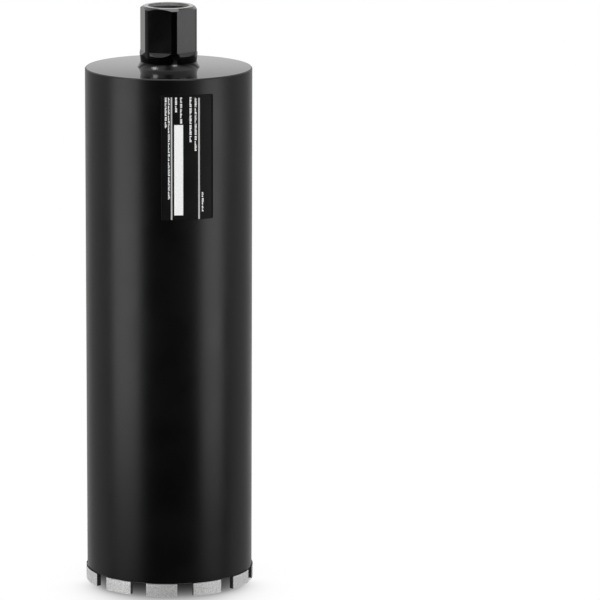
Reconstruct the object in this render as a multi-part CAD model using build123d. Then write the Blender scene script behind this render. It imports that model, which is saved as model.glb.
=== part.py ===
from build123d import *
import os
from math import degrees

# Diamond core bit: a thin steel barrel with cutting segments on its rim and a threaded drive hub
# on its closed end. It stands on its segments: Z = 0 is the cutting plane, the barrel's axis is the
# Z axis, and the hub points up. Lengths are in millimetres and angles in degrees.
# A piece's direction about the axis is counted from the front, -Y, and grows towards +X.

# Barrel
cutting_diameter = 132.0      # over the segments: the hole that the bit drills
outside_relief = 1.0          # how far a segment stands out from the tube's outer face
inside_relief = 1.0           # how far it stands in from the tube's inner face
tube_wall = 2.0
drilling_depth = 400.0        # from the cutting plane up to the back plate's underside
rim_bevel = 0.9               # turned edge round the tube's closed end

# Back plate, let into the tube's end and flush with it
plate_thickness = 8.0
plate_clearance = 0.05        # slip fit in the tube, all round
weld_groove = 1.5             # bevel on the plate's upper edge, filled by the ring of weld

# Cutting segments
segment_count = 11
segment_height = 10.4
segment_length = 24.6         # along the outside
segment_edge = 0.35           # worn edge all round the cutting face
first_segment_angle = -5.5    # middle of the segment nearest the front

# Drive hub, turned from round bar
across_flats = 41.0           # size of the spanner
flat_depth = 2.0              # how deep a flat is milled into the bar
flat_runout = 3.0             # length in which a flat slopes back out to the bar
corner_angle = 11.5           # one of the six corners between flats
hub_height = 48.0             # above the back plate
collar_height = 10.3          # round foot of the hub, between the plate and the flats
crown_width = 2.9             # turned bevel round the hub's top, across
crown_height = 2.0            # the same bevel, along the axis
shoulder_width = 3.5          # how far the hub's foot sits over the edge of the plate's hole
spigot_clearance = 0.05       # slip fit of the hub's spigot in the plate's hole

# Thread in the hub, 1-1/4 inch with seven threads to the inch
thread_diameter = 31.75
thread_depth = 1.775          # from the thread's root to the bore that it is tapped in
mouth_relief = 0.35           # how far the mouth's countersink opens past the thread

# Weld round the hub's foot
hub_weld_height = 4.6
hub_weld_width = 1.8
hub_weld_hollow = 0.25        # how far the bead's face sinks below a straight slope

# Label stuck on the barrel
label_width = 41.0            # along the tube's face
label_height = 97.0
label_thickness = 0.15
label_glue = 0.1              # layer of glue between the sheet and the tube
label_corner = 1.0
label_drop = 12.2             # from the barrel's closed end down to the label's upper edge
label_angle = 12.8            # middle of the label

# Radii and heights that follow from the sizes above
cutting_radius = cutting_diameter / 2
tube_radius = cutting_radius - outside_relief
bore_radius = tube_radius - tube_wall
segment_inner_radius = bore_radius - inside_relief
plate_radius = bore_radius - plate_clearance
plate_bottom = drilling_depth
plate_top = plate_bottom + plate_thickness
apothem = across_flats / 2
bar_radius = apothem + flat_depth
spigot_radius = bar_radius - shoulder_width
core_radius = thread_diameter / 2 - thread_depth
mouth_radius = thread_diameter / 2 + mouth_relief
hub_top = plate_top + hub_height


def turned(points, sweep=360.0):
    """A solid turned about the Z axis from an outline of (radius, height) points.

    It starts at the front and sweeps towards +X.
    """
    outline = make_face(Polyline([(-radius, height) for radius, height in points], close=True))
    return revolve(Plane.YZ * outline, Axis.Z, sweep)


def facing(piece, angle):
    """The piece turned about the Z axis, from the front to its own direction."""
    return Rot(0, 0, angle) * piece


def make_tube():
    """Barrel: thin tube from the segments' roots up to the back plate's upper face."""
    return turned([
        (bore_radius, segment_height),
        (tube_radius, segment_height),
        (tube_radius, plate_top - rim_bevel),
        (tube_radius - rim_bevel, plate_top),
        (bore_radius, plate_top),
    ])


def make_end_plate():
    """Back plate: disc with the hub's hole, its upper edge bevelled for the weld."""
    hole_radius = spigot_radius + spigot_clearance
    return turned([
        (hole_radius, plate_bottom),
        (plate_radius, plate_bottom),
        (plate_radius, plate_top - weld_groove),
        (plate_radius - weld_groove, plate_top),
        (hole_radius, plate_top),
    ])


def make_plate_weld():
    """Ring of weld that fills the plate's groove, ground flush with the plate and the tube."""
    return turned([
        (plate_radius - weld_groove, plate_top),
        (plate_radius, plate_top - weld_groove),
        (bore_radius, plate_top - weld_groove),
        (bore_radius, plate_top),
    ])


def make_hub_blank():
    """Hub as it leaves the lathe: round bar, bevelled crown, spigot and countersunk bore."""
    countersink = mouth_radius - core_radius
    return turned([
        (core_radius, plate_bottom),
        (spigot_radius, plate_bottom),
        (spigot_radius, plate_top),
        (bar_radius, plate_top),
        (bar_radius, hub_top - crown_height),
        (bar_radius - crown_width, hub_top),
        (mouth_radius, hub_top),
        (core_radius, hub_top - countersink),
    ])


def make_flat_cutter():
    """What the milling cutter takes away for the flat that faces the front."""
    runout_bottom = plate_top + collar_height
    flat_bottom = runout_bottom + flat_runout
    past_top = hub_top + crown_height
    past_bar = bar_radius + flat_depth
    outline = Polyline(
        (-apothem, flat_bottom),
        (-apothem, past_top),
        (-past_bar, past_top),
        (-past_bar, runout_bottom - flat_runout),
        close=True,
    )
    return extrude(Plane.YZ * make_face(outline), bar_radius, both=True)


def make_hub():
    """Drive hub: the turned blank with six flats milled on it for a spanner."""
    hub = make_hub_blank()
    cutter = make_flat_cutter()
    for corner in range(6):
        hub -= facing(cutter, corner_angle + 30 + corner * 60)
    return hub


def make_hub_weld():
    """Fillet weld in the corner between the hub's foot and the plate, its face a little hollow."""
    root = (-bar_radius, plate_top)
    toe = (-bar_radius - hub_weld_width, plate_top)
    top = (-bar_radius, plate_top + hub_weld_height)
    slope = (hub_weld_width ** 2 + hub_weld_height ** 2) ** 0.5
    middle = (
        -bar_radius - hub_weld_width / 2 + hub_weld_hollow * hub_weld_height / slope,
        plate_top + hub_weld_height / 2 - hub_weld_hollow * hub_weld_width / slope,
    )
    outline = make_face([Line(root, toe), ThreePointArc(toe, middle, top), Line(top, root)])
    return revolve(Plane.YZ * outline, Axis.Z, 360)


def make_segment(angle):
    """Cutting segment: a block curved to the tube, its cutting face worn round all four edges."""
    sweep = degrees(segment_length / cutting_radius)
    block = turned([
        (segment_inner_radius, 0),
        (cutting_radius, 0),
        (cutting_radius, segment_height),
        (segment_inner_radius, segment_height),
    ], sweep)
    cutting_face = block.faces().sort_by(Axis.Z)[0]
    return facing(chamfer(cutting_face.edges(), segment_edge), angle - sweep / 2)


def make_label():
    """Label: thin sheet bent round the barrel, with rounded corners."""
    sweep = degrees(label_width / tube_radius)
    back = tube_radius + label_glue
    face = back + label_thickness
    sheet_top = plate_top - label_drop
    sheet_bottom = sheet_top - label_height
    sheet = turned([
        (back, sheet_bottom),
        (face, sheet_bottom),
        (face, sheet_top),
        (back, sheet_top),
    ], sweep)
    corners = sheet.edges().filter_by(lambda edge: edge.length < 2 * label_thickness)
    return facing(fillet(corners, label_corner), label_angle - sweep / 2)


pieces = {
    "tube": make_tube(),
    "end_plate": make_end_plate(),
    "plate_weld": make_plate_weld(),
    "hub": make_hub(),
    "hub_weld": make_hub_weld(),
    "label": make_label(),
}
for number in range(segment_count):
    segment_angle = first_segment_angle + number * 360 / segment_count
    pieces[f"segment_{number + 1:02d}"] = make_segment(segment_angle)

os.makedirs("parts", exist_ok=True)
for name, piece in pieces.items():
    export_step(piece, f"parts/{name}.step")
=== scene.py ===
"""Diamond core bit: finished pieces, materials and studio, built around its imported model."""

import random
from math import atan2, cos, hypot, pi, radians, sin, tan

import bpy
from mathutils import Matrix, Vector


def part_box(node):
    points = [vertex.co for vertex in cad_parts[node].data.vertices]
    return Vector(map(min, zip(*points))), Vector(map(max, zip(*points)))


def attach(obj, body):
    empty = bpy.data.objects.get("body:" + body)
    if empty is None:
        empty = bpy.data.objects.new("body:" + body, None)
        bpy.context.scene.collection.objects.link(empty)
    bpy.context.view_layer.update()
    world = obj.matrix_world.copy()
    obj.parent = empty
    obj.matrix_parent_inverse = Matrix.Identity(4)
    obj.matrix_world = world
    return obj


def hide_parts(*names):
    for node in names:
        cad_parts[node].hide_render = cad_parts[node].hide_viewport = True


bl_info = {
    "name": "Diamond Core Bit",
    "version": (1, 0, 0),
    "blender": (4, 5, 0),
    "location": "View3D > Sidebar > Core Bit",
    "description": "Builds the barrel, hub, welds, cutting segments and label of a diamond core bit",
    "category": "Object",
}

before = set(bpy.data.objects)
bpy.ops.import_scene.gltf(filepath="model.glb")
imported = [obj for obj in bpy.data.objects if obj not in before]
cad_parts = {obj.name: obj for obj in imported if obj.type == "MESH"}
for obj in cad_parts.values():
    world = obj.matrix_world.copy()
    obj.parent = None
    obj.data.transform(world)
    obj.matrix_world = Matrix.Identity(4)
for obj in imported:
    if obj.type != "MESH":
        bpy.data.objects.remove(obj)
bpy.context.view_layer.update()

MM = 0.001
MERGE = 0.001 * MM    # corners that lie closer than this are joined
NEAR = 0.01 * MM      # tolerance on a height or a radius
MOSTLY = 0.5          # share of a face's normal, from -1 to 1, that looks mostly one way
FULLY = 0.95          # the same, for a face that is square to that way
WHITE = (1.0, 1.0, 1.0, 1.0)
SEGMENTS = sorted(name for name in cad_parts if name.startswith("segment_"))


# Sizes read from the imported model

def radii(node, height=None):
    """Smallest and largest distance of a node's corners from the axis, at one height or at all."""
    corners = [v.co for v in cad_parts[node].data.vertices]
    if height is not None:
        corners = [co for co in corners if abs(co.z - height) < NEAR]
    distances = [hypot(co.x, co.y) for co in corners]
    return min(distances), max(distances)


def bearings(node):
    """Direction of a node's middle and the angle that it spans, seen from above.

    A direction is counted from the front, -Y, and grows towards +X.
    """
    corners = [v.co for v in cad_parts[node].data.vertices]
    middle = sum(corners, Vector()) / len(corners)
    course = atan2(middle.x, -middle.y)
    offsets = []
    for co in corners:
        turn = atan2(co.x, -co.y) - course
        offsets.append((turn + pi) % (2 * pi) - pi)
    return course + (max(offsets) + min(offsets)) / 2, max(offsets) - min(offsets)


TUBE_FOOT, BARREL_TOP = (corner.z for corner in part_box("tube"))
PLATE_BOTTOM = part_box("end_plate")[0].z
HUB_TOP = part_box("hub")[1].z
TUBE_RADIUS = radii("tube")[1]
BORE_RADIUS = radii("plate_weld")[1]
CUTTING_RADIUS = radii("segment_01")[1]
SEGMENT_INNER_RADIUS = radii("segment_01")[0]
SEGMENT_SWEEP = bearings("segment_01")[1]
BAR_RADIUS = radii("hub")[1]
MOUTH_RADIUS, CROWN_RADIUS = radii("hub", HUB_TOP)
CORE_RADIUS, SPIGOT_RADIUS = radii("hub", PLATE_BOTTOM)
WELD_TOE_RADIUS = radii("hub_weld")[1]
WELD_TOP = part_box("hub_weld")[1].z
LABEL_BACK, LABEL_FACE = radii("label")
LABEL_MIDDLE, LABEL_SWEEP = bearings("label")
LABEL_BOTTOM, LABEL_TOP = (corner.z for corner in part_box("label"))


# Properties that a user would change

def number(name, description, default, **settings):
    """A number of any kind."""
    return bpy.props.FloatProperty(name=name, description=description, default=default, **settings)


def length(name, description, default):
    """A size in metres."""
    return number(name, description, default, min=0.0, precision=5, unit="LENGTH", subtype="DISTANCE")


def angle(name, description, default):
    """An angle, typed in degrees and held in radians."""
    return number(name, description, radians(default), unit="ROTATION", subtype="ANGLE")


def share(name, description, default):
    """A number from 0 to 1."""
    return number(name, description, default, min=0.0, max=1.0, subtype="FACTOR")


def brightness(name, description, default):
    """The radiance of a light or of a lit surface."""
    return number(name, description, default, min=0.0)


def count(name, description, default, least):
    """A whole number."""
    return bpy.props.IntProperty(name=name, description=description, default=default, min=least)


def colour(name, description, default):
    """A linear colour."""
    return bpy.props.FloatVectorProperty(
        name=name, description=description, default=default, size=3, min=0.0, max=1.0, subtype="COLOR",
    )


class CoreBitSizes(bpy.types.PropertyGroup):
    """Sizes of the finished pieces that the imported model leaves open."""

    rim_bevel: length("Rim bevel", "Turned edge round the barrel's closed end", 0.9 * MM)
    rim_round: length("Rim rounding", "How far the paint rounds the rim's edges", 0.3 * MM)
    across_flats: length("Across flats", "Size of the spanner that fits the hub", 41.0 * MM)
    corner_angle: angle("Corner angle", "One of the six corners between the hub's flats", 11.5)
    collar_height: length("Collar", "Round foot of the hub below its flats", 10.3 * MM)
    collar_taper: length("Collar taper", "How far the collar narrows down to its weld", 0.55 * MM)
    flat_runout: length("Flat run-out", "Length in which a flat slopes out to the bar", 3.0 * MM)
    crown_height: length("Crown", "Height of the turned bevel round the hub's top", 2.0 * MM)
    hub_edge: length("Hub edge", "Rounding of the hub's edges", 0.18 * MM)
    thread_radius: length("Thread radius", "Outer radius of the hub's thread", 15.875 * MM)
    thread_pitch: length("Thread pitch", "Rise of the thread in one turn", 25.4 / 7 * MM)
    thread_length: length("Thread length", "Full thread below the hub's top", 42.0 * MM)
    weld_hollow: length("Weld hollow", "How far the bead sinks below a straight slope", 0.25 * MM)
    weld_ripple: length("Weld ripple", "Height of the ripples on the bead", 0.008 * MM)
    segment_edge: length("Segment edge", "Worn edge round a segment's cutting face", 0.35 * MM)
    segment_foot: length("Segment foot", "Smooth layer of a segment next to the barrel", 1.1 * MM)
    ink_thickness: length("Ink thickness", "How far the print stands out from the label", 0.02 * MM)


class CoreBitFinish(bpy.types.PropertyGroup):
    """Colours and surface finish."""

    paint: colour("Paint", "Black paint on the steel", (0.0008, 0.0008, 0.0009))
    paint_light: colour("Paint, lighter", "Where the paint is a little lighter", (0.0014, 0.0014, 0.0015))
    barrel_roughness: share("Barrel roughness", "Satin paint on the barrel", 0.33)
    plate_roughness: share("Plate roughness", "Gloss paint on the closed end", 0.07)
    hub_roughness: share("Hub roughness", "Gloss paint on the hub", 0.12)
    matrix: colour("Segment metal", "Bare sintered metal", (0.92, 0.92, 0.91))
    matrix_dark: colour("Segment metal, darker", "Pits between the grains", (0.62, 0.62, 0.62))
    steel: colour("Ground steel", "Bare rim of the barrel", (0.56, 0.56, 0.55))
    film: colour("Label film", "Black face of the label", (0.0035, 0.0035, 0.0036))
    ink: colour("Label ink", "Light print on the label", (0.95, 0.95, 0.95))


class CoreBitStudio(bpy.types.PropertyGroup):
    """Camera and light."""

    camera_distance: length("Camera distance", "From the camera to the point that it aims at", 3.6595)
    camera_elevation: angle("Camera elevation", "How far the camera looks down", 11.415)
    aim_height: length("Aim height", "Height of that point on the barrel's axis", 0.230)
    aim_left: angle("Aim to the left", "How far left of the picture's middle that point lies", 1.607)
    aim_up: angle("Aim above", "How far above the picture's middle that point lies", 0.108)
    camera_roll: angle("Camera roll", "Turn about the line of sight", 0.219)
    focal_length: number("Focal length", "On a sensor 36 mm wide", 280.0, min=1.0, unit="CAMERA")
    side_light: brightness("Side light", "Radiance of the two softboxes", 2.1)
    left_course: angle("Left light's place", "Direction of the left softbox, from the front", -60.7)
    left_width: length("Left light's width", "Width of the left softbox", 0.88)
    right_course: angle("Right light's place", "Direction of the right softbox, from the front", 60.5)
    right_width: length("Right light's width", "Width of the right softbox", 0.66)
    side_distance: length("Side light's distance", "From the barrel's axis to each softbox", 1.17)
    side_bottom: number("Side light's foot", "Height of its lower edge", -0.14, unit="LENGTH")
    side_top: length("Side light's head", "Height of its upper edge", 0.50)
    key_light: brightness("Key light", "Radiance of the two small softboxes above", 8.0)
    key_size: length("Key light's size", "Width of each small softbox", 0.42)
    key_distance: length("Key light's distance", "From the hub's foot to each small softbox", 1.6)
    dome_light: brightness("Dome light", "Radiance of the room above the bit", 1.0)
    table_light: brightness("Table light", "Radiance of the lit table round the bit's foot", 0.95)


# Modelling steps that more than one piece uses

def deselect_all():
    """Nothing is selected, so that an operator acts only on the piece at hand."""
    bpy.ops.object.select_all(action="DESELECT")


def activate(piece):
    """Only the piece is selected, and it is the active object."""
    deselect_all()
    piece.select_set(True)
    bpy.context.view_layer.objects.active = piece


def outline_piece(name, outline, filled=False):
    """A new piece that holds an outline of (radius, height) points, facing the front."""
    deselect_all()
    fill = "NGON" if filled else "NOTHING"
    bpy.ops.mesh.primitive_circle_add(vertices=len(outline), radius=MM, fill_type=fill)
    piece = bpy.context.object
    piece.name = name
    piece.data.name = name
    for vertex, (radius, height) in zip(piece.data.vertices, outline):
        vertex.co = (0.0, -radius, height)
    return piece


def spin(piece, steps, sweep=2 * pi, start=0.0):
    """Turns the piece's outline about the Z axis from a direction towards +X, and closes the surface."""
    piece.data.transform(Matrix.Rotation(start, 4, "Z"))
    open_surface(piece)
    bpy.ops.mesh.spin(steps=steps, angle=-sweep, center=(0.0, 0.0, 0.0), axis=(0.0, 0.0, 1.0))
    bpy.ops.mesh.select_all(action="SELECT")
    bpy.ops.mesh.remove_doubles(threshold=MERGE)
    close_surface()


def open_surface(piece):
    """Enters edit mode with the whole piece selected."""
    activate(piece)
    bpy.ops.object.mode_set(mode="EDIT")
    bpy.ops.mesh.select_all(action="SELECT")


def close_surface():
    """Turns every face of the piece outward and leaves edit mode."""
    bpy.ops.mesh.select_all(action="SELECT")
    bpy.ops.mesh.normals_make_consistent(inside=False)
    bpy.ops.object.mode_set(mode="OBJECT")


def pick_edges(piece, wanted):
    """Enters edit mode with only those edges of the piece selected that the test picks."""
    activate(piece)
    bpy.ops.object.mode_set(mode="EDIT")
    bpy.ops.mesh.select_all(action="DESELECT")
    bpy.ops.object.mode_set(mode="OBJECT")
    for edge in piece.data.edges:
        edge.select = wanted(edge)
    bpy.ops.object.mode_set(mode="EDIT")
    bpy.ops.mesh.select_mode(type="EDGE")


def leave_edges():
    """Leaves edit mode after work on edges."""
    bpy.ops.mesh.select_mode(type="VERT")
    bpy.ops.object.mode_set(mode="OBJECT")


def apply_modifier(piece, kind, **settings):
    """Adds a modifier to the piece, sets it and applies it."""
    activate(piece)
    bpy.ops.object.modifier_add(type=kind)
    modifier = piece.modifiers[-1]
    for name, value in settings.items():
        setattr(modifier, name, value)
    bpy.ops.object.modifier_apply(modifier=modifier.name)


def cut_away(piece, cutter):
    """Takes the cutter's shape out of the piece."""
    apply_modifier(piece, "BOOLEAN", operation="DIFFERENCE", object=cutter, solver="EXACT")


def soften(piece, width, limit=30.0, segments=2):
    """Rounds every edge of the piece that is sharper than a limit in degrees."""
    apply_modifier(
        piece, "BEVEL", width=width, segments=segments, limit_method="ANGLE", angle_limit=radians(limit),
        miter_outer="MITER_ARC", use_clamp_overlap=True,
    )


def smooth(piece, limit=30.0):
    """Shades the piece smooth, apart from its sharp edges."""
    activate(piece)
    bpy.ops.object.shade_smooth_by_angle(angle=radians(limit))


def flatten_normals(piece):
    """Keeps wide faces flat beside their rounded edges."""
    apply_modifier(piece, "WEIGHTED_NORMAL", keep_sharp=True, weight=80)


def add_materials(piece, *names):
    """Gives the piece those materials. The first one goes on all of its faces."""
    for name in names:
        piece.data.materials.append(bpy.data.materials[name])


def paint_faces(piece, index, wanted):
    """Gives the piece's material with that index to each face that the test picks."""
    for face in piece.data.polygons:
        if wanted(face):
            face.material_index = index


def outward(face):
    """How far a face looks away from the barrel's axis, from -1 to 1."""
    away = Vector((face.center.x, face.center.y, 0.0)).normalized()
    return face.normal.dot(away)


def hand_over(piece, slot, *replaced):
    """Puts the piece on the model's one body, in place of the nodes that it stands for."""
    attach(piece, "root")
    if replaced:
        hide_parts(*replaced)


# Node trees

def clear_tree(owner, output):
    """The emptied node tree of a material or a world, and a new output node in it."""
    owner.use_nodes = True
    owner.node_tree.nodes.clear()
    return owner.node_tree, owner.node_tree.nodes.new(output)


def new_material(name):
    """The node tree of a material with one Principled shader, and that shader."""
    tree, output = clear_tree(bpy.data.materials.new(name), "ShaderNodeOutputMaterial")
    shader = tree.nodes.new("ShaderNodeBsdfPrincipled")
    tree.links.new(shader.outputs["BSDF"], output.inputs["Surface"])
    return tree, shader


def add_node(tree, kind, inputs=None, **settings):
    """A node with its settings, and with its inputs set to values or linked to sockets."""
    node = tree.nodes.new(kind)
    for name, value in settings.items():
        setattr(node, name, value)
    for name, value in (inputs or {}).items():
        if isinstance(value, bpy.types.NodeSocket):
            tree.links.new(value, node.inputs[name])
        else:
            node.inputs[name].default_value = value
    return node


def ramp(tree, value, low, high, to_low=0.0, to_high=1.0):
    """A value taken smoothly from one range to another."""
    node = add_node(tree, "ShaderNodeMapRange", {
        "Value": value, "From Min": low, "From Max": high, "To Min": to_low, "To Max": to_high,
    }, interpolation_type="SMOOTHSTEP")
    return node.outputs["Result"]


def maths(tree, operation, *values):
    """The result of a Math node on values or sockets."""
    return add_node(tree, "ShaderNodeMath", dict(enumerate(values)), operation=operation).outputs[0]


def dot_product(tree, first, second):
    """The dot product of two vectors."""
    node = add_node(tree, "ShaderNodeVectorMath", {0: first, 1: second}, operation="DOT_PRODUCT")
    return node.outputs["Value"]


def mix_shaders(tree, factor, first, second):
    """A node that mixes the shaders of two nodes by a factor."""
    return add_node(tree, "ShaderNodeMixShader", {0: factor, 1: first.outputs[0], 2: second.outputs[0]})


def blend_colours(tree, factor, first, second):
    """The mix of two colours by a factor."""
    node = add_node(tree, "ShaderNodeMix", data_type="RGBA")
    tree.links.new(factor, node.inputs["Factor"])
    for socket, value in ((node.inputs[6], first), (node.inputs[7], second)):
        if isinstance(value, bpy.types.NodeSocket):
            tree.links.new(value, socket)
        else:
            socket.default_value = (*value, 1.0)
    return node.outputs[2]


def toned(base, tone):
    """The colour made darker or lighter by a factor."""
    return tuple(tone * channel for channel in base)


def noise(tree, size, detail):
    """Noise on the piece's own coordinates, with spots of that size."""
    place = add_node(tree, "ShaderNodeTexCoord").outputs["Object"]
    scale = maths(tree, "DIVIDE", 1.0, size)
    node = add_node(tree, "ShaderNodeTexNoise", {"Vector": place, "Scale": scale, "Detail": detail})
    return node.outputs["Fac"]


def new_group(name, inputs, outputs):
    """An empty shader node group with those float inputs and outputs, and its two end nodes."""
    group = bpy.data.node_groups.new(name, "ShaderNodeTree")
    for label, default in inputs:
        socket = group.interface.new_socket(label, in_out="INPUT", socket_type="NodeSocketFloat")
        socket.default_value = default
    for label in outputs:
        group.interface.new_socket(label, in_out="OUTPUT", socket_type="NodeSocketFloat")
    return group, group.nodes.new("NodeGroupInput"), group.nodes.new("NodeGroupOutput")


def make_grain_group():
    """Fine irregular grain with larger, softer patches."""
    sizes = [("Grain size", 1.0 * MM), ("Patch size", 30.0 * MM)]
    group, start, end = new_group("Grain", sizes, ["Grain", "Patches"])
    for size, detail, target in (("Grain size", 3.0, "Grain"), ("Patch size", 2.0, "Patches")):
        spots = noise(group, start.outputs[size], detail)
        group.links.new(ramp(group, spots, 0.3, 0.7), end.inputs[target])


def make_wear_and_highlight_group():
    """Mask of the edges that stand out, broken up by grain: worn edges, and where the segment metal gets a
    painted highlight.
    """
    sizes = [("Width", 0.4 * MM), ("Grain size", 2.0 * MM)]
    group, start, end = new_group("Edge Wear and Highlight", sizes, ["Wear"])
    rounded = add_node(group, "ShaderNodeBevel", {"Radius": start.outputs["Width"]}, samples=4)
    plain = add_node(group, "ShaderNodeNewGeometry").outputs["Normal"]
    edge = ramp(group, dot_product(group, rounded.outputs["Normal"], plain), 0.995, 0.90)
    broken = ramp(group, noise(group, start.outputs["Grain size"], 2.0), 0.35, 0.6, 0.35, 1.0)
    group.links.new(maths(group, "MULTIPLY", edge, broken), end.inputs["Wear"])


def place_group(tree, group, **values):
    """The group of that name in a material, with its inputs set. An underscore stands for a space."""
    node = add_node(tree, "ShaderNodeGroup", node_tree=bpy.data.node_groups[group])
    for name, value in values.items():
        node.inputs[name.replace("_", " ").capitalize()].default_value = value
    return node


def add_bump(tree, height, distance, **below):
    """A bump normal from a height, on the flat surface or on the normal below it."""
    values = {"Height": height, "Distance": distance, "Strength": 1.0}
    return add_node(tree, "ShaderNodeBump", values | below).outputs["Normal"]


def make_grained(
    name, sizes, colours, roughness, bump, metallic=0.0, colour_by="Patches", gloss_by="Patches",
):
    """A material whose colour and roughness vary between two values, with its grain or its patches.

    The sizes are those of the grain and of a patch in millimetres, and the bump is the grain's height.
    """
    tree, shader = new_material(name)
    grain = place_group(tree, "Grain", grain_size=sizes[0] * MM, patch_size=sizes[1] * MM)
    shade = blend_colours(tree, grain.outputs[colour_by], *colours)
    tree.links.new(shade, shader.inputs["Base Color"])
    shader.inputs["Metallic"].default_value = metallic
    gloss = ramp(tree, grain.outputs[gloss_by], 0.0, 1.0, *roughness)
    tree.links.new(gloss, shader.inputs["Roughness"])
    tree.links.new(add_bump(tree, grain.outputs["Grain"], bump), shader.inputs["Normal"])
    return tree, shader


def make_paint(name, roughness, peel, finish, dish=0.0):
    """Black paint: hardly varied in colour, with a little orange peel and uneven gloss.

    A dish is the curve that welding leaves in the plate, as the rise per square metre from its middle.
    """
    colours = (finish.paint, finish.paint_light)
    spread = 0.015
    uneven = (roughness - spread, roughness + spread)
    tree, shader = make_grained(name, (2.2, 35.0), colours, uneven, peel)
    if dish:
        place = add_node(tree, "ShaderNodeTexCoord").outputs["Object"]
        level = (1.0, 1.0, 0.0)
        flat = add_node(tree, "ShaderNodeVectorMath", {0: place, 1: level}, operation="MULTIPLY").outputs[0]
        peeled = shader.inputs["Normal"].links[0].from_socket
        dished = add_bump(tree, dot_product(tree, flat, flat), dish, Normal=peeled)
        tree.links.new(dished, shader.inputs["Normal"])


def make_sooted_paint(name, finish):
    """Rough black paint where the spray only reached as mist, such as inside the barrel."""
    colours = (finish.paint, finish.paint_light)
    make_grained(name, (0.9, 20.0), colours, (0.5, 0.62), 0.02 * MM, colour_by="Grain")


def make_bare_steel(name, tone, roughness, finish):
    """Bare steel, such as the barrel's ground rim and the hub's turned end."""
    colours = (toned(finish.steel, 0.7 * tone), toned(finish.steel, tone))
    uneven = (roughness, roughness + 0.08)
    make_grained(name, (0.6, 8.0), colours, uneven, 0.01 * MM, metallic=1.0, colour_by="Grain")


def make_matrix(finish, foot_height):
    """Bare sintered metal with grit: speckled, lighter on its edges as wear and as a painted highlight, and
    smooth at the foot.
    """
    tree, shader = new_material("segment_metal")
    grain = place_group(tree, "Grain", grain_size=0.9 * MM, patch_size=6.0 * MM).outputs["Grain"]
    wear_and_highlight = place_group(tree, "Edge Wear and Highlight", width=0.5 * MM, grain_size=1.5 * MM).outputs["Wear"]
    place = add_node(tree, "ShaderNodeTexCoord").outputs["Object"]
    height = add_node(tree, "ShaderNodeSeparateXYZ", {0: place}).outputs["Z"]
    blur = 0.1 * MM
    foot = ramp(tree, height, foot_height - blur, foot_height + blur)
    even = maths(tree, "MAXIMUM", wear_and_highlight, foot)
    speckle = blend_colours(tree, grain, finish.matrix_dark, finish.matrix)
    # The lighter edge colour is partly polish from wear and partly a painted highlight
    polished_and_highlit = tuple(min(0.96, channel) for channel in toned(finish.matrix, 1.4))
    tree.links.new(blend_colours(tree, wear_and_highlight, speckle, polished_and_highlit), shader.inputs["Base Color"])
    shader.inputs["Metallic"].default_value = 0.7
    tree.links.new(ramp(tree, even, 0.0, 1.0, 0.5, 0.36), shader.inputs["Roughness"])
    pits = maths(tree, "MULTIPLY", grain, maths(tree, "SUBTRACT", 1.0, even))
    tree.links.new(add_bump(tree, pits, 0.05 * MM), shader.inputs["Normal"])


def make_misted_and_shaded_metal(finish):
    """Sides of the segments: sintered metal under a thin mist of black paint, made far darker as painted
    shade.
    """
    colours = (toned(finish.matrix, 0.015), toned(finish.matrix, 0.06))
    make_grained("misted_and_shaded_metal", (0.8, 5.0), colours, (0.5, 0.65), 0.04 * MM, metallic=0.6, colour_by="Grain")


def make_thread_steel(finish):
    """Dark oiled steel of the thread."""
    colours = (toned(finish.steel, 0.16), toned(finish.steel, 0.3))
    uneven = (0.34, 0.46)
    make_grained("thread_steel", (0.8, 6.0), colours, uneven, 0.006 * MM, metallic=0.7, gloss_by="Grain")


def make_film(finish):
    """Black film of the label, duller than the paint."""
    colours = (finish.film, toned(finish.film, 1.3))
    _, shader = make_grained("dull_film", (1.2, 20.0), colours, (0.46, 0.52), 0.003 * MM)
    shader.inputs["Specular IOR Level"].default_value = 0.17


def make_ink(name, tone, finish):
    """Print on the label, a little uneven as screen ink is."""
    colours = (toned(finish.ink, 0.86 * tone), toned(finish.ink, tone))
    make_grained(name, (0.6, 10.0), colours, (0.38, 0.46), 0.004 * MM, colour_by="Grain")


# Operators, one for each piece or group of like pieces

class COREBIT_OT_materials(bpy.types.Operator):
    """Makes the node groups and the materials"""

    bl_idname = "core_bit.materials"
    bl_label = "Materials"

    def execute(self, context):
        finish = context.scene.core_bit_finish
        sizes = context.scene.core_bit_sizes
        make_grain_group()
        make_wear_and_highlight_group()
        make_paint("barrel_paint", finish.barrel_roughness, 0.0025 * MM, finish)
        make_paint("plate_paint", finish.plate_roughness, 0.0015 * MM, finish, dish=0.16)
        make_paint("hub_paint", finish.hub_roughness, 0.002 * MM, finish)
        make_paint("weld_paint", finish.hub_roughness + 0.04, 0.01 * MM, finish)
        make_sooted_paint("inner_paint", finish)
        make_bare_steel("ground_steel", 1.0, 0.32, finish)
        make_bare_steel("turned_steel", 0.7, 0.16, finish)
        make_matrix(finish, TUBE_FOOT - sizes.segment_foot)
        make_misted_and_shaded_metal(finish)
        make_thread_steel(finish)
        make_film(finish)
        make_ink("white_ink", 1.0, finish)
        make_ink("grey_ink", 0.55, finish)
        return {"FINISHED"}


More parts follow.
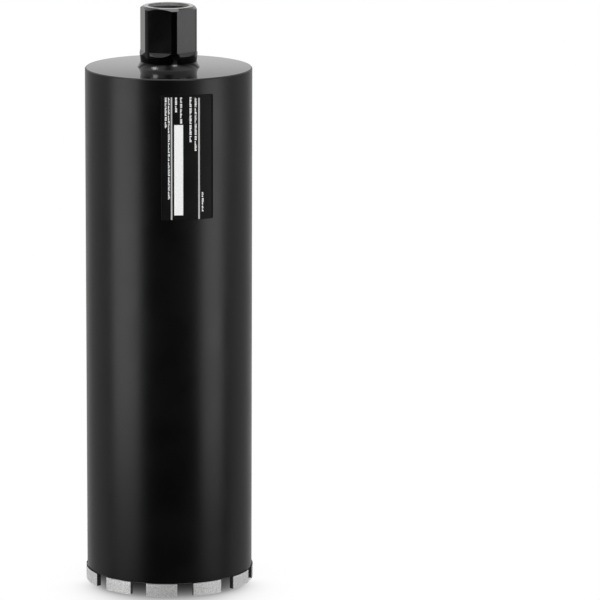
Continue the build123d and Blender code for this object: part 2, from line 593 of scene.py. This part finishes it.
class COREBIT_OT_barrel(bpy.types.Operator):
    """Turns the barrel, with its rounded closed rim and its bare cutting rim"""

    bl_idname = "core_bit.barrel"
    bl_label = "Barrel"

    steps: count("Steps", "Faces round the barrel", 256, 16)

    def execute(self, context):
        sizes = context.scene.core_bit_sizes
        deburr = 0.12 * MM
        bevel_foot = (TUBE_RADIUS, BARREL_TOP - sizes.rim_bevel)
        bevel_top = (TUBE_RADIUS - sizes.rim_bevel, BARREL_TOP)
        outline = [
            (BORE_RADIUS, BARREL_TOP),
            (BORE_RADIUS, TUBE_FOOT + deburr),
            (BORE_RADIUS + deburr, TUBE_FOOT),
            (TUBE_RADIUS - deburr, TUBE_FOOT),
            (TUBE_RADIUS, TUBE_FOOT + deburr),
            *round_corner((TUBE_RADIUS, TUBE_FOOT), bevel_foot, bevel_top, sizes.rim_round),
            *round_corner(bevel_foot, bevel_top, (BORE_RADIUS, BARREL_TOP), sizes.rim_round),
        ]
        piece = outline_piece("barrel", outline)
        spin(piece, self.steps)
        smooth(piece)
        add_materials(piece, "barrel_paint", "inner_paint", "ground_steel", "plate_paint")
        paint_faces(piece, 1, lambda face: outward(face) < -MOSTLY)
        paint_faces(piece, 2, lambda face: face.normal.z < -MOSTLY)
        paint_faces(piece, 3, lambda face: face.normal.z > FULLY)
        hand_over(piece, "black_paint", "tube")
        return {"FINISHED"}


def round_corner(before, corner, after, size, steps=3):
    """Points that round the corner of an outline, starting and ending a size away from it."""
    corner = Vector(corner)
    start = corner + (Vector(before) - corner).normalized() * size
    end = corner + (Vector(after) - corner).normalized() * size
    points = []
    for step in range(steps + 1):
        t = step / steps
        points.append(tuple(start * (1 - t) ** 2 + corner * 2 * t * (1 - t) + end * t ** 2))
    return points


class COREBIT_OT_back_plate(bpy.types.Operator):
    """Paints the back plate and the ground weld round it, whose shapes are right as they are"""

    bl_idname = "core_bit.back_plate"
    bl_label = "Back plate"

    def execute(self, context):
        for name in ("end_plate", "plate_weld"):
            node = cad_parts[name]
            node.data.materials.clear()
            add_materials(node, "plate_paint", "inner_paint")
            paint_faces(node, 1, lambda face: face.normal.z < MOSTLY)
        return {"FINISHED"}


class COREBIT_OT_hub(bpy.types.Operator):
    """Turns the hub, mills its six flats, rounds its edges and taps its thread"""

    bl_idname = "core_bit.hub"
    bl_label = "Hub"

    steps: count("Steps", "Faces round the hub", 180, 12)

    def execute(self, context):
        sizes = context.scene.core_bit_sizes
        countersink = MOUTH_RADIUS - CORE_RADIUS
        outline = [
            (CORE_RADIUS, PLATE_BOTTOM),
            (SPIGOT_RADIUS, PLATE_BOTTOM),
            (SPIGOT_RADIUS, BARREL_TOP),
            (BAR_RADIUS - sizes.collar_taper, BARREL_TOP),
            (BAR_RADIUS - sizes.collar_taper, WELD_TOP),
            (BAR_RADIUS, BARREL_TOP + sizes.collar_height),
            (BAR_RADIUS, HUB_TOP - sizes.crown_height),
            (CROWN_RADIUS, HUB_TOP),
            (MOUTH_RADIUS, HUB_TOP),
            (CORE_RADIUS, HUB_TOP - countersink),
        ]
        piece = outline_piece("drive_hub", outline)
        spin(piece, self.steps)
        cutter = self.make_flat_cutter(sizes)
        for corner in range(6):
            middle = sizes.corner_angle + radians(30 + corner * 60)
            cutter.data.transform(Matrix.Rotation(middle, 4, "Z"))
            cut_away(piece, cutter)
            cutter.data.transform(Matrix.Rotation(-middle, 4, "Z"))
        bpy.data.objects.remove(cutter)
        soften(piece, sizes.hub_edge, limit=18.0)
        tap = self.make_tap(sizes)
        cut_away(piece, tap)
        bpy.data.objects.remove(tap)
        smooth(piece, 28.0)
        flatten_normals(piece)
        add_materials(piece, "hub_paint", "thread_steel", "inner_paint", "turned_steel")
        bore_edge = sizes.thread_radius + 0.02 * MM
        end_face = HUB_TOP - 0.05 * MM
        paint_faces(piece, 1, lambda face: hypot(face.center.x, face.center.y) < bore_edge)
        paint_faces(piece, 2, lambda face: face.center.z < BARREL_TOP and face.normal.z < -MOSTLY)
        paint_faces(piece, 3, lambda face: face.center.z > end_face and face.normal.z > FULLY)
        hand_over(piece, "black_paint", "hub")
        return {"FINISHED"}

    def make_flat_cutter(self, sizes):
        """What the milling cutter takes away for the flat that faces the front."""
        apothem = sizes.across_flats / 2
        depth = BAR_RADIUS - apothem
        runout_bottom = BARREL_TOP + sizes.collar_height
        past_bar = BAR_RADIUS + depth
        past_top = HUB_TOP + depth
        outline = [
            (apothem, runout_bottom + sizes.flat_runout),
            (apothem, past_top),
            (past_bar, past_top),
            (past_bar, runout_bottom - sizes.flat_runout),
        ]
        cutter = outline_piece("flat_cutter", outline, filled=True)
        cutter.data.transform(Matrix.Translation((-BAR_RADIUS, 0.0, 0.0)))
        open_surface(cutter)
        bpy.ops.mesh.extrude_region_move(TRANSFORM_OT_translate={"value": (2 * BAR_RADIUS, 0.0, 0.0)})
        close_surface()
        return cutter

    def make_tap(self, sizes):
        """A tap for the thread: one turn of its outline, screwed up the bore, with a tapered end."""
        pitch = sizes.thread_pitch
        overlap = 0.5 * MM
        taper = 2 * pitch
        root = CORE_RADIUS - overlap
        land = pitch / 8
        flank = (sizes.thread_radius - root) * tan(radians(30))
        gap = (pitch - land - 2 * flank) / 2
        heights = (0.0, gap, gap + flank, gap + flank + land, pitch - gap, pitch)
        reaches = (root, root, sizes.thread_radius, sizes.thread_radius, root, root)
        bottom = HUB_TOP - sizes.thread_length - taper
        turns = int((HUB_TOP - bottom) / pitch) + 2
        tap = outline_piece("tap", list(zip(reaches, heights)))
        ends = {0, len(heights) - 1}
        pick_edges(tap, lambda edge: set(edge.vertices) == ends)
        bpy.ops.mesh.delete(type="EDGE_FACE")
        leave_edges()
        apply_modifier(
            tap, "SCREW", angle=2 * pi, screw_offset=pitch, iterations=turns, steps=96, render_steps=96,
            use_merge_vertices=True, merge_threshold=MERGE,
        )
        tap.data.transform(Matrix.Translation((0.0, 0.0, bottom - pitch)))
        for vertex in tap.data.vertices:
            lead = (vertex.co.z - bottom) / taper
            reach = hypot(vertex.co.x, vertex.co.y)
            if lead < 1.0 and reach > root:
                reach_here = root + (reach - root) * max(lead, 0.0)
                vertex.co.xy *= reach_here / reach
        open_surface(tap)
        bpy.ops.mesh.remove_doubles(threshold=MERGE)
        bpy.ops.mesh.select_all(action="DESELECT")
        bpy.ops.mesh.select_non_manifold()
        bpy.ops.mesh.edge_face_add()
        close_surface()
        return tap


class COREBIT_OT_hub_weld(bpy.types.Operator):
    """Lays the weld round the hub's foot, with its ripples"""

    bl_idname = "core_bit.hub_weld"
    bl_label = "Hub weld"

    steps: count("Steps", "Faces round the weld", 720, 24)
    ripples: count("Ripples", "Ripples round the weld", 96, 1)

    def execute(self, context):
        sizes = context.scene.core_bit_sizes
        toe = Vector((WELD_TOE_RADIUS, BARREL_TOP))
        neck = BAR_RADIUS - sizes.collar_taper
        top = Vector((neck, WELD_TOP))
        inward = Vector((BARREL_TOP - WELD_TOP, neck - WELD_TOE_RADIUS)).normalized()
        points = 10
        face = []
        for point in range(points + 1):
            t = point / points
            face.append(tuple(toe.lerp(top, t) + inward * sizes.weld_hollow * 4 * t * (1 - t)))
        piece = outline_piece("hub_weld_bead", [(neck, BARREL_TOP), *face])
        spin(piece, self.steps)
        width = (top - toe).length
        bow = 1.98
        for vertex in piece.data.vertices:
            reach = hypot(vertex.co.x, vertex.co.y)
            along = (Vector((reach, vertex.co.z)) - toe).length / width
            if reach < neck + NEAR or vertex.co.z < BARREL_TOP + NEAR:
                continue
            course = atan2(vertex.co.x, -vertex.co.y)
            arc = sin(pi * along)
            ripple = sin(self.ripples * course - bow * arc)
            sway = 0.6 * sin(5 * course + 0.7) + 0.4 * sin(9 * course + 2.0)
            lift = sizes.weld_ripple * (ripple + 1.4 * sway) * arc
            push = (reach - inward.x * lift) / reach
            vertex.co.xy *= push
            vertex.co.z -= inward.y * lift
        smooth(piece, 40.0)
        add_materials(piece, "weld_paint")
        hand_over(piece, "black_paint", "hub_weld")
        return {"FINISHED"}


class COREBIT_OT_segments(bpy.types.Operator):
    """Shapes one cutting segment and sets a copy of it in each place on the rim"""

    bl_idname = "core_bit.segments"
    bl_label = "Cutting segments"

    steps: count("Steps", "Faces along a segment", 18, 2)

    def execute(self, context):
        sizes = context.scene.core_bit_sizes
        groove = 0.06 * MM
        deburr = 0.08 * MM
        edge_on = 0.3
        foot = TUBE_FOOT - sizes.segment_foot
        outline = [
            (SEGMENT_INNER_RADIUS, 0.0),
            (CUTTING_RADIUS, 0.0),
            (CUTTING_RADIUS, foot - 2 * groove),
            (CUTTING_RADIUS - groove, foot - groove),
            (CUTTING_RADIUS - groove, foot + groove),
            (CUTTING_RADIUS, foot + 2 * groove),
            (CUTTING_RADIUS, TUBE_FOOT),
            (SEGMENT_INNER_RADIUS, TUBE_FOOT),
        ]
        master = outline_piece("segment_master", outline, filled=True)
        spin(master, self.steps, SEGMENT_SWEEP, -SEGMENT_SWEEP / 2)
        self.wear_cutting_face(master, sizes.segment_edge)
        soften(master, deburr, limit=40.0)
        smooth(master)
        flatten_normals(master)
        add_materials(master, "segment_metal", "misted_and_shaded_metal")
        # End and inner faces get the darkened metal: a mist of paint together with painted shade
        paint_faces(master, 1, lambda face: outward(face) < edge_on and face.normal.z > -edge_on)
        for node in SEGMENTS:
            piece = master.copy()
            piece.data = master.data.copy()
            piece.name = "cutting_" + node
            piece.data.name = piece.name
            context.collection.objects.link(piece)
            piece.data.transform(Matrix.Rotation(bearings(node)[0], 4, "Z"))
            hand_over(piece, "sintered_metal", node)
        bpy.data.objects.remove(master)
        return {"FINISHED"}

    def wear_cutting_face(self, piece, size):
        """Takes the edge off all round the cutting face."""
        activate(piece)
        bpy.ops.object.mode_set(mode="EDIT")
        bpy.ops.mesh.select_mode(type="EDGE")
        bpy.ops.mesh.select_all(action="DESELECT")
        bpy.ops.mesh.edges_select_sharp(sharpness=radians(60))
        bpy.ops.object.mode_set(mode="OBJECT")
        corners = piece.data.vertices
        for edge in piece.data.edges:
            low = all(corners[index].co.z < NEAR for index in edge.vertices)
            edge.select = edge.select and low
        bpy.ops.object.mode_set(mode="EDIT")
        bpy.ops.mesh.bevel(offset=size, segments=1, affect="EDGES")
        leave_edges()


class COREBIT_OT_label(bpy.types.Operator):
    """Bends the label round the barrel and prints plain rules, bars and a field on it"""

    bl_idname = "core_bit.label"
    bl_label = "Label"

    corner: length("Corner", "Radius of the label's corners", 1.0 * MM)
    seed: count("Seed", "Sets the blocks that stand for words", 7, 0)

    def execute(self, context):
        sizes = context.scene.core_bit_sizes
        outline = [
            (LABEL_BACK, LABEL_BOTTOM),
            (LABEL_FACE, LABEL_BOTTOM),
            (LABEL_FACE, LABEL_TOP),
            (LABEL_BACK, LABEL_TOP),
        ]
        sheet = outline_piece("label_sheet", outline, filled=True)
        spin(sheet, 40, LABEL_SWEEP, LABEL_MIDDLE - LABEL_SWEEP / 2)
        self.round_corners(sheet)
        smooth(sheet, 40.0)
        add_materials(sheet, "dull_film")
        hand_over(sheet, "label_film", "label")
        self.print_fields("label_white_print", "white_ink", self.white_fields(), sizes)
        self.print_fields("label_grey_print", "grey_ink", self.grey_fields(), sizes)
        return {"FINISHED"}

    def round_corners(self, sheet):
        """Rounds the four corners of the sheet."""
        span = LABEL_SWEEP / 2 - radians(0.05)
        corners = sheet.data.vertices

        def is_corner(edge):
            """Whether the edge runs through the sheet's thickness at one of its two sides."""
            first, second = (corners[index].co for index in edge.vertices)
            level = abs(first.z - second.z) < MERGE
            radial = abs(hypot(first.x, first.y) - hypot(second.x, second.y)) > NEAR
            course = atan2(first.x, -first.y) - LABEL_MIDDLE
            return level and radial and abs(course) > span

        pick_edges(sheet, is_corner)
        bpy.ops.mesh.bevel(offset=self.corner, segments=5, affect="EDGES")
        leave_edges()

    def words(self, left, right, top, bottom, low, high):
        """Small plain blocks in a row down the label, in runs as long as words."""
        between_blocks = 0.3
        between_words = 0.6
        blocks = []
        place = top
        while place < bottom - low:
            word_end = min(place + self.lengths.uniform(low, high), bottom)
            while place < word_end:
                size = self.lengths.uniform(0.45, 1.0)
                drop = self.lengths.choice((0.0, 0.0, 0.3, 0.45)) * (right - left)
                blocks.append((left, right - drop, place, place + size))
                place += size + between_blocks
            place += between_words
        return blocks

    def white_fields(self):
        """Fields of white print, each as (left, right, top, bottom).

        They are in millimetres from the label's left and upper edge.
        """
        self.lengths = random.Random(self.seed)
        fields = [(10.1, 16.95, 23.0, 93.2)]
        for row in (
            (3.0, 4.4, 1.8, 27.0, 2.0, 6.5),
            (5.4, 6.8, 1.8, 80.8, 2.0, 8.0),
            (10.85, 12.3, 1.8, 15.0, 3.0, 6.0),
            (14.7, 16.2, 1.8, 21.8, 3.0, 8.0),
            (21.95, 23.6, 1.8, 36.4, 3.0, 9.0),
            (26.05, 27.6, 2.4, 46.8, 3.0, 9.0),
            (31.85, 33.3, 76.0, 92.2, 3.0, 6.0),
        ):
            fields += self.words(*row)
        return fields

    def grey_fields(self):
        """Rules of grey print, in the same measure."""
        return [(7.5, 8.6, 1.6, 96.6), (28.9, 30.2, 2.6, 96.6)]

    def print_fields(self, name, ink, fields, sizes):
        """One piece with all the fields in one ink, bent round the label."""
        pieces = []
        for left, right, top, bottom in fields:
            deselect_all()
            columns = max(1, round(right - left))
            rows = max(1, round((bottom - top) / 4))
            bpy.ops.mesh.primitive_grid_add(x_subdivisions=columns, y_subdivisions=rows, size=1.0)
            patch = bpy.context.object
            for vertex in patch.data.vertices:
                across = left + (vertex.co.x + 0.5) * (right - left)
                down = top + (0.5 - vertex.co.y) * (bottom - top)
                course = LABEL_MIDDLE - LABEL_SWEEP / 2 + across * MM / TUBE_RADIUS
                vertex.co = (LABEL_FACE * sin(course), -LABEL_FACE * cos(course), LABEL_TOP - down * MM)
            pieces.append(patch)
        deselect_all()
        for patch in pieces:
            patch.select_set(True)
        bpy.context.view_layer.objects.active = pieces[0]
        bpy.ops.object.join()
        piece = pieces[0]
        piece.name = name
        piece.data.name = name
        apply_modifier(piece, "SOLIDIFY", thickness=sizes.ink_thickness, offset=1.0)
        smooth(piece, 40.0)
        add_materials(piece, ink)
        hand_over(piece, "label_film")


class COREBIT_OT_stage(bpy.types.Operator):
    """Sets up the floor, the softboxes, the surroundings and the camera"""

    bl_idname = "core_bit.stage"
    bl_label = "Stage"

    floor_size: length("Floor", "Width of the floor", 24.0)

    def execute(self, context):
        studio = context.scene.core_bit_studio
        self.add_floor(studio)
        self.add_surroundings(context, studio)
        tall = studio.side_top - studio.side_bottom
        left = (studio.left_width, tall)
        right = (studio.right_width, tall)
        small = (studio.key_size, studio.key_size)
        middle = (studio.side_bottom + studio.side_top) / 2
        strip = 0.268
        side, key = studio.side_distance, studio.key_distance
        for softbox in (
            ("softbox_left", middle, studio.left_course, 0.0, side, left, studio.side_light),
            ("softbox_right", middle, studio.right_course, 0.0, side, right, studio.side_light),
            ("softbox_hub", strip, radians(83), 0.0, side, (0.17, 0.09), 2.35),
            ("key_right", BARREL_TOP, radians(26.5), radians(24), key, small, studio.key_light),
            ("key_left", BARREL_TOP, radians(-65), radians(41), key, small, studio.key_light),
            ("softbox_top", BARREL_TOP, radians(180), radians(77), key, (0.9, 0.4), 3.0),
        ):
            self.add_softbox(*softbox)
        self.add_camera(context, studio)
        context.scene.view_settings.view_transform = "Standard"
        return {"FINISHED"}

    def add_floor(self, studio):
        """Plain pale floor, white to the camera, with a painted shadow where the bit would keep the light off
        it.
        """
        deselect_all()
        bpy.ops.mesh.primitive_plane_add(size=self.floor_size)
        floor = bpy.context.object
        floor.name = "floor"
        floor.visible_glossy = False
        floor.visible_shadow = False
        material = bpy.data.materials.new("floor")
        tree, output = clear_tree(material, "ShaderNodeOutputMaterial")
        pale = (0.8, 0.8, 0.8, 1.0)
        # To the camera the floor glows in the colour of the painted shadow
        painted_shadow_glow = add_node(tree, "ShaderNodeEmission", {"Color": self.add_painted_shadow(tree)})
        table = add_node(tree, "ShaderNodeEmission", {"Color": WHITE, "Strength": studio.table_light})
        matt = add_node(tree, "ShaderNodeBsdfDiffuse", {"Color": pale})
        ray = add_node(tree, "ShaderNodeLightPath")
        lit = mix_shaders(tree, ray.outputs["Is Diffuse Ray"], matt, table)
        mix = mix_shaders(tree, ray.outputs["Is Camera Ray"], lit, painted_shadow_glow)
        tree.links.new(mix.outputs[0], output.inputs["Surface"])
        material.cycles.emission_sampling = "NONE"
        floor.data.materials.append(material)

    def add_painted_shadow(self, tree):
        """Brightness of the floor as painted colour: a painted shadow in front and a painted dark that
        deepens under the barrel.
        """
        weakest, strongest = 0.04, 0.68
        shortest, longer = 9.0 * MM, 17.5 * MM
        inner_fade = 13.5 * MM
        place = add_node(tree, "ShaderNodeTexCoord").outputs["Object"]
        axes = add_node(tree, "ShaderNodeSeparateXYZ", {0: place})
        along = axes.outputs["Y"]
        away = add_node(tree, "ShaderNodeVectorMath", {0: place}, operation="LENGTH").outputs["Value"]
        ahead = maths(tree, "MULTIPLY", maths(tree, "DIVIDE", along, away), -1.0)
        strength = ramp(tree, ahead, 0.1, 0.75, weakest, strongest)
        narrow = maths(tree, "POWER", maths(tree, "MAXIMUM", ahead, 0.0), 6.0)
        reach = maths(tree, "MULTIPLY_ADD", narrow, longer, shortest)
        outside = maths(tree, "MAXIMUM", maths(tree, "SUBTRACT", away, CUTTING_RADIUS), 0.0)
        fade = maths(tree, "EXPONENT", maths(tree, "MULTIPLY", maths(tree, "DIVIDE", outside, reach), -1.0))
        open_floor = maths(tree, "SUBTRACT", 1.0, maths(tree, "MULTIPLY", strength, fade))
        across = maths(tree, "POWER", axes.outputs["X"], 2.0)
        chord = maths(tree, "MAXIMUM", maths(tree, "SUBTRACT", CUTTING_RADIUS ** 2, across), 0.0)
        depth = maths(tree, "SUBTRACT", maths(tree, "SQRT", chord), maths(tree, "ABSOLUTE", along))
        inside = maths(tree, "MAXIMUM", depth, 0.0)
        dark = maths(tree, "EXPONENT", maths(tree, "DIVIDE", inside, -inner_fade))
        return maths(tree, "MULTIPLY", open_floor, dark)

    def add_surroundings(self, context, studio):
        """A room that is white to the camera: bright above and behind the bit, dark in front of it."""
        world = bpy.data.worlds.new("surroundings")
        context.scene.world = world
        tree, output = clear_tree(world, "ShaderNodeOutputWorld")
        direction = add_node(tree, "ShaderNodeTexCoord").outputs["Generated"]
        axes = add_node(tree, "ShaderNodeSeparateXYZ", {0: direction})
        back, up = axes.outputs["Y"], axes.outputs["Z"]
        aside = maths(tree, "ABSOLUTE", axes.outputs["X"])
        # Each ramp runs between two places on an axis of the direction, and between two radiances or shares
        wall = ramp(tree, back, 0.68, 0.95, 0.37, 0.68)
        level = ramp(tree, up, 0.06, 0.0)
        sides = maths(tree, "MULTIPLY", maths(tree, "MULTIPLY", ramp(tree, back, -0.1, 0.12), wall), level)
        behind = ramp(tree, back, -0.6, 0.7)
        skyline = ramp(tree, up, 0.09, 0.21, 0.5, 1.31)
        flank = maths(tree, "ADD", ramp(tree, up, 0.1, 0.2, 0.85, 0.25), ramp(tree, up, 0.27, 0.35, 0.0, 0.7))
        flank = maths(tree, "SUBTRACT", flank, skyline)
        skyline = maths(tree, "MULTIPLY_ADD", ramp(tree, aside, 0.15, 0.6), flank, skyline)
        above = ramp(tree, up, 0.0, 0.06)
        backdrop = maths(tree, "MULTIPLY", maths(tree, "MULTIPLY", behind, skyline), above)
        walls = maths(tree, "ADD", sides, backdrop)
        front = maths(tree, "MAXIMUM", ramp(tree, aside, 0.05, 0.4, 0.2, 1.0), ramp(tree, back, -0.6, -0.4))
        dome = maths(tree, "MULTIPLY", ramp(tree, up, 0.38, 0.6, 0.0, studio.dome_light), front)
        below = ramp(tree, up, -0.45, -0.7, 0.0, 0.3)
        light = maths(tree, "MAXIMUM", maths(tree, "MAXIMUM", walls, dome), below)
        room = add_node(tree, "ShaderNodeBackground", {"Color": light})
        white = add_node(tree, "ShaderNodeBackground", {"Color": WHITE})
        seen = add_node(tree, "ShaderNodeLightPath").outputs["Is Camera Ray"]
        tree.links.new(mix_shaders(tree, seen, room, white).outputs[0], output.inputs["Surface"])

    def add_softbox(self, name, height, course, rise, distance, size, radiance):
        """A softbox that faces a point on the barrel's axis, in a direction and a rise from that point."""
        aim = Vector((0.0, 0.0, height))
        away = Vector((sin(course) * cos(rise), -cos(course) * cos(rise), sin(rise)))
        bpy.ops.object.light_add(type="AREA", location=aim + away * distance)
        lamp = bpy.context.object
        lamp.name = name
        lamp.rotation_euler = (-away).to_track_quat("-Z", "Y").to_euler()
        lamp.data.shape = "RECTANGLE"
        lamp.data.size, lamp.data.size_y = size
        lamp.data.energy = radiance * pi * size[0] * size[1]
        lamp.visible_camera = False

    def add_camera(self, context, studio):
        """The camera looks a little past the bit, which stands left of the picture's middle."""
        aim = Vector((0.0, 0.0, studio.aim_height))
        back = Vector((0.0, -cos(studio.camera_elevation), sin(studio.camera_elevation)))
        right = Vector((1.0, 0.0, 0.0))
        up = right.cross(-back)
        sight = -back + right * tan(studio.aim_left) - up * tan(studio.aim_up)
        bpy.ops.object.camera_add(location=aim + back * studio.camera_distance)
        camera = bpy.context.object
        camera.name = "camera"
        turn = sight.to_track_quat("-Z", "Y").to_matrix()
        camera.rotation_euler = (turn @ Matrix.Rotation(studio.camera_roll, 3, "Z")).to_euler()
        camera.data.lens = studio.focal_length
        camera.data.sensor_width = 36.0
        camera.data.clip_end = 50.0
        context.scene.camera = camera


class COREBIT_PT_steps(bpy.types.Panel):
    """Lists the core bit's properties and building steps"""

    bl_idname = "COREBIT_PT_steps"
    bl_label = "Core Bit"
    bl_space_type = "VIEW_3D"
    bl_region_type = "UI"
    bl_category = "Core Bit"

    def draw(self, context):
        layout = self.layout
        for group in (getattr(context.scene, name) for name in GROUPS):
            box = layout.box()
            for name in group.__annotations__:
                box.prop(group, name)
        for step in STEPS:
            layout.operator(step.bl_idname)


GROUPS = {
    "core_bit_sizes": CoreBitSizes,
    "core_bit_finish": CoreBitFinish,
    "core_bit_studio": CoreBitStudio,
}
STEPS = (
    COREBIT_OT_materials,
    COREBIT_OT_barrel,
    COREBIT_OT_back_plate,
    COREBIT_OT_hub,
    COREBIT_OT_hub_weld,
    COREBIT_OT_segments,
    COREBIT_OT_label,
    COREBIT_OT_stage,
)
CLASSES = (*GROUPS.values(), *STEPS, COREBIT_PT_steps)


def register():
    for kind in CLASSES:
        bpy.utils.register_class(kind)
    for name, group in GROUPS.items():
        setattr(bpy.types.Scene, name, bpy.props.PointerProperty(type=group))


def unregister():
    for name in GROUPS:
        delattr(bpy.types.Scene, name)
    for kind in reversed(CLASSES):
        bpy.utils.unregister_class(kind)


def main():
    register()
    bpy.ops.core_bit.materials()
    bpy.ops.core_bit.barrel()
    bpy.ops.core_bit.back_plate()
    bpy.ops.core_bit.hub()
    bpy.ops.core_bit.hub_weld()
    bpy.ops.core_bit.segments()
    bpy.ops.core_bit.label()
    bpy.ops.core_bit.stage()


if __name__ == "__main__":
    main()
